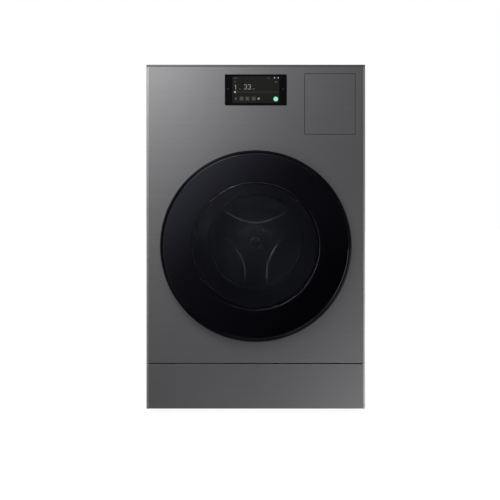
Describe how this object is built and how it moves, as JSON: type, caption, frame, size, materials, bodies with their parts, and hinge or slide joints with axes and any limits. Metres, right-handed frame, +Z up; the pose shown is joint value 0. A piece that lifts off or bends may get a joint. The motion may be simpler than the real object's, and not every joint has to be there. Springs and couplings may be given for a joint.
{
  "type": "washer dryer",
  "caption": "Front-loading washer dryer: one cabinet with a large round door, suspended drum, detergent drawer, touch display and a lower service flap.",
  "frame": {"origin": "centre of the footprint, on the floor under the feet", "axes": "+X to the right as seen from the front, +Y from the door to the rear panel, +Z up"},
  "size_m": [0.686, 0.875, 1.091],
  "materials": {
    "front_metal": "dark brushed satin",
    "side_metal": "satin grey paint",
    "top_metal": "dark satin paint",
    "rear_metal": "plain galvanised grey",
    "tinted_glass": "dark tinted, polished",
    "bowl_glass": "clear, polished",
    "gloss_black": "gloss black",
    "black_plastic": "fine grained black",
    "white_plastic": "satin white",
    "tub_plastic": "glass-filled grey",
    "rubber": "matte grey",
    "drum_steel": "stainless, satin",
    "hub_chrome": "polished",
    "lifter_plastic": "satin light grey",
    "cast_aluminium": "as cast",
    "plain_steel": "zinc plated",
    "concrete": "cast concrete",
    "copper": "enamelled copper wire",
    "rotor_paint": "black paint",
    "grey_plastic": "dark grey moulded",
    "blue_plastic": "satin blue",
    "board_green": "solder mask"
  },
  "bodies": {
    "cabinet": {"base_pan": "rear_metal", "side_panel_left": "side_metal", "side_panel_right": "side_metal", "rear_panel": "rear_metal", "rear_service_cover": "rear_metal", "top_cover": "top_metal", "front_panel": "front_metal", "top_brace": "rear_metal", "service_panel": "black_plastic", "display_glass": "tinted_glass", "display_housing": "black_plastic", "control_board": "board_green", "drawer_housing": "white_plastic", "inlet_valves": "white_plastic", "drain_outlet": "grey_plastic", "power_gland": "black_plastic", "door_hinge_bracket": "plain_steel", "door_hinge_pin": "plain_steel", "door_lock": "white_plastic", "damper_cylinders": "rotor_paint", "suspension_springs": "plain_steel", "door_gasket": "rubber", "heat_pump_case": "grey_plastic", "heat_exchangers": "cast_aluminium", "compressor": "rotor_paint", "blower_housing": "grey_plastic", "air_duct": "grey_plastic", "drain_pump": "grey_plastic", "sump_bellows": "rubber", "lint_filter": "blue_plastic", "panel_screws": "plain_steel"},
    "tub": {"tub_front": "tub_plastic", "tub_rear": "tub_plastic", "counterweights": "concrete", "motor_stator": "copper", "drum_bearings": "plain_steel", "damper_rods": "plain_steel", "tub_screws": "plain_steel"},
    "drum": {"drum_shell": "drum_steel", "drum_rear_wall": "drum_steel", "drum_front_ring": "drum_steel", "drum_lifters": "lifter_plastic", "drum_spider": "cast_aluminium", "hub_cap": "hub_chrome", "motor_rotor": "rotor_paint"},
    "door": {"door_ring": "gloss_black", "door_glass": "tinted_glass", "door_bowl": "bowl_glass", "door_rear_frame": "black_plastic"},
    "latch_hook": {"door_latch_hook": "plain_steel"},
    "drawer": {"drawer_front": "front_metal", "drawer_body": "white_plastic", "siphon_insert": "blue_plastic"},
    "flap": {"lower_flap": "front_metal"},
    "filter_cap": {"drain_filter_cap": "blue_plastic"},
    "impeller": {"blower_impeller": "lifter_plastic"},
    "foot_fl": {"foot_front_left": "rubber"},
    "foot_fr": {"foot_front_right": "rubber"},
    "foot_rl": {"foot_rear_left": "rubber"},
    "foot_rr": {"foot_rear_right": "rubber"}
  },
  "joints": [
    {"name": "tub_suspension", "type": "slide", "parent": "cabinet", "child": "tub", "axis": [0, 0, 1], "range_m": [-0.012, 0.012], "stiffness_N_per_m": 20000, "springref_m": 0.0269, "deforming": ["suspension_springs", "door_gasket", "sump_bellows"]},
    {"name": "drum_spin", "type": "hinge", "parent": "tub", "child": "drum", "pos_m": [0, 0, 0.524], "axis": [0, 1, 0], "continuous": true},
    {"name": "door_hinge", "type": "hinge", "parent": "cabinet", "child": "door", "pos_m": [-0.277, -0.4215, 0.524], "axis": [0, 0, -1], "range_deg": [0, 120]},
    {"name": "latch_hook_pivot", "type": "hinge", "parent": "door", "child": "latch_hook", "pos_m": [0.252, -0.4125, 0.524], "axis": [0, 0, 1], "range_deg": [0, 8], "stiffness_Nm_per_rad": 0.6},
    {"name": "drawer_slide", "type": "slide", "parent": "cabinet", "child": "drawer", "axis": [0, -1, 0], "range_m": [0, 0.26]},
    {"name": "flap_hinge", "type": "hinge", "parent": "cabinet", "child": "flap", "pos_m": [0, -0.387, 0.026], "axis": [1, 0, 0], "range_deg": [0, 90]},
    {"name": "filter_cap_turn", "type": "hinge", "parent": "cabinet", "child": "filter_cap", "pos_m": [0.23, -0.39, 0.085], "axis": [0, -1, 0], "range_deg": [0, 180]},
    {"name": "impeller_spin", "type": "hinge", "parent": "cabinet", "child": "impeller", "pos_m": [-0.15, 0.1895, 0.08], "axis": [0, 0, 1], "continuous": true},
    {"name": "foot_fl_level", "type": "slide", "parent": "cabinet", "child": "foot_fl", "axis": [0, 0, -1], "range_m": [0, 0.015]},
    {"name": "foot_fr_level", "type": "slide", "parent": "cabinet", "child": "foot_fr", "axis": [0, 0, -1], "range_m": [0, 0.015]},
    {"name": "foot_rl_level", "type": "slide", "parent": "cabinet", "child": "foot_rl", "axis": [0, 0, -1], "range_m": [0, 0.015]},
    {"name": "foot_rr_level", "type": "slide", "parent": "cabinet", "child": "foot_rr", "axis": [0, 0, -1], "range_m": [0, 0.015]}
  ]
}
